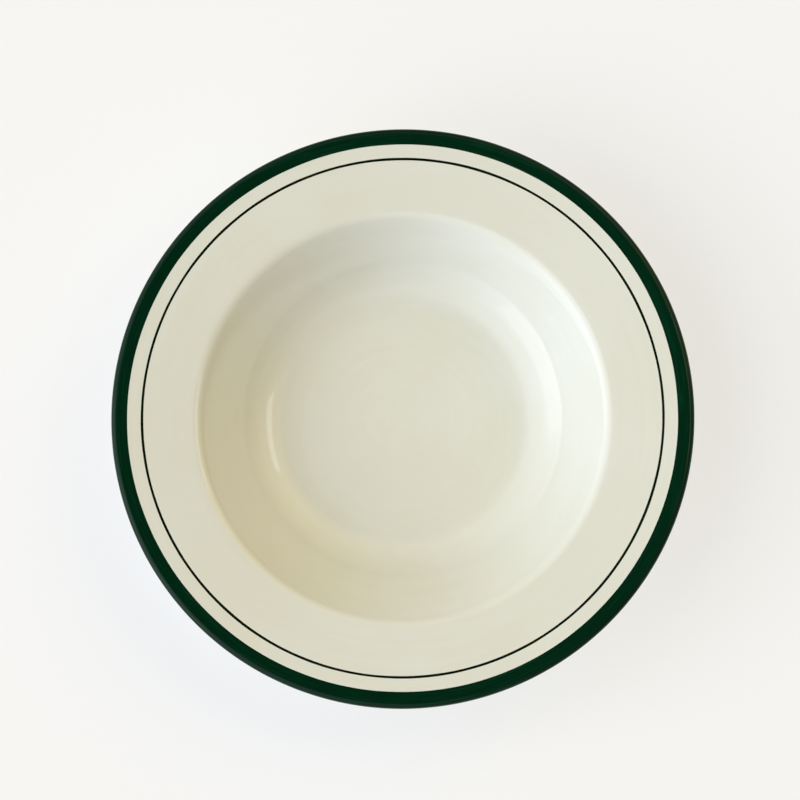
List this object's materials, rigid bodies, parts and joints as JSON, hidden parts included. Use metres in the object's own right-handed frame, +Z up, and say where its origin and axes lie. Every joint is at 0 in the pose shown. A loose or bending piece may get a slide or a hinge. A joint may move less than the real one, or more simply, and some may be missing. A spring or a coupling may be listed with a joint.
{
  "type": "rimmed soup plate",
  "caption": "Wide-rimmed soup plate with a deep well, glazed cream, with a dark green edge band and hairline, on a dry foot ring.",
  "frame": {"origin": "centre of the foot ring, in the plane that the plate stands on", "axes": "+Z up along the axis of revolution, out of the well; X and Y are alike"},
  "size_m": [0.229, 0.229, 0.0375],
  "materials": {
    "bisque": "unglazed, fine matt",
    "cream_glaze": "gloss",
    "green_colour": "gloss"
  },
  "bodies": {
    "root": {"china_body": "bisque", "face_glaze": "cream_glaze", "back_glaze": "cream_glaze", "recess_glaze": "cream_glaze", "rim_band": "green_colour", "hairline": "green_colour"}
  },
  "joints": []
}
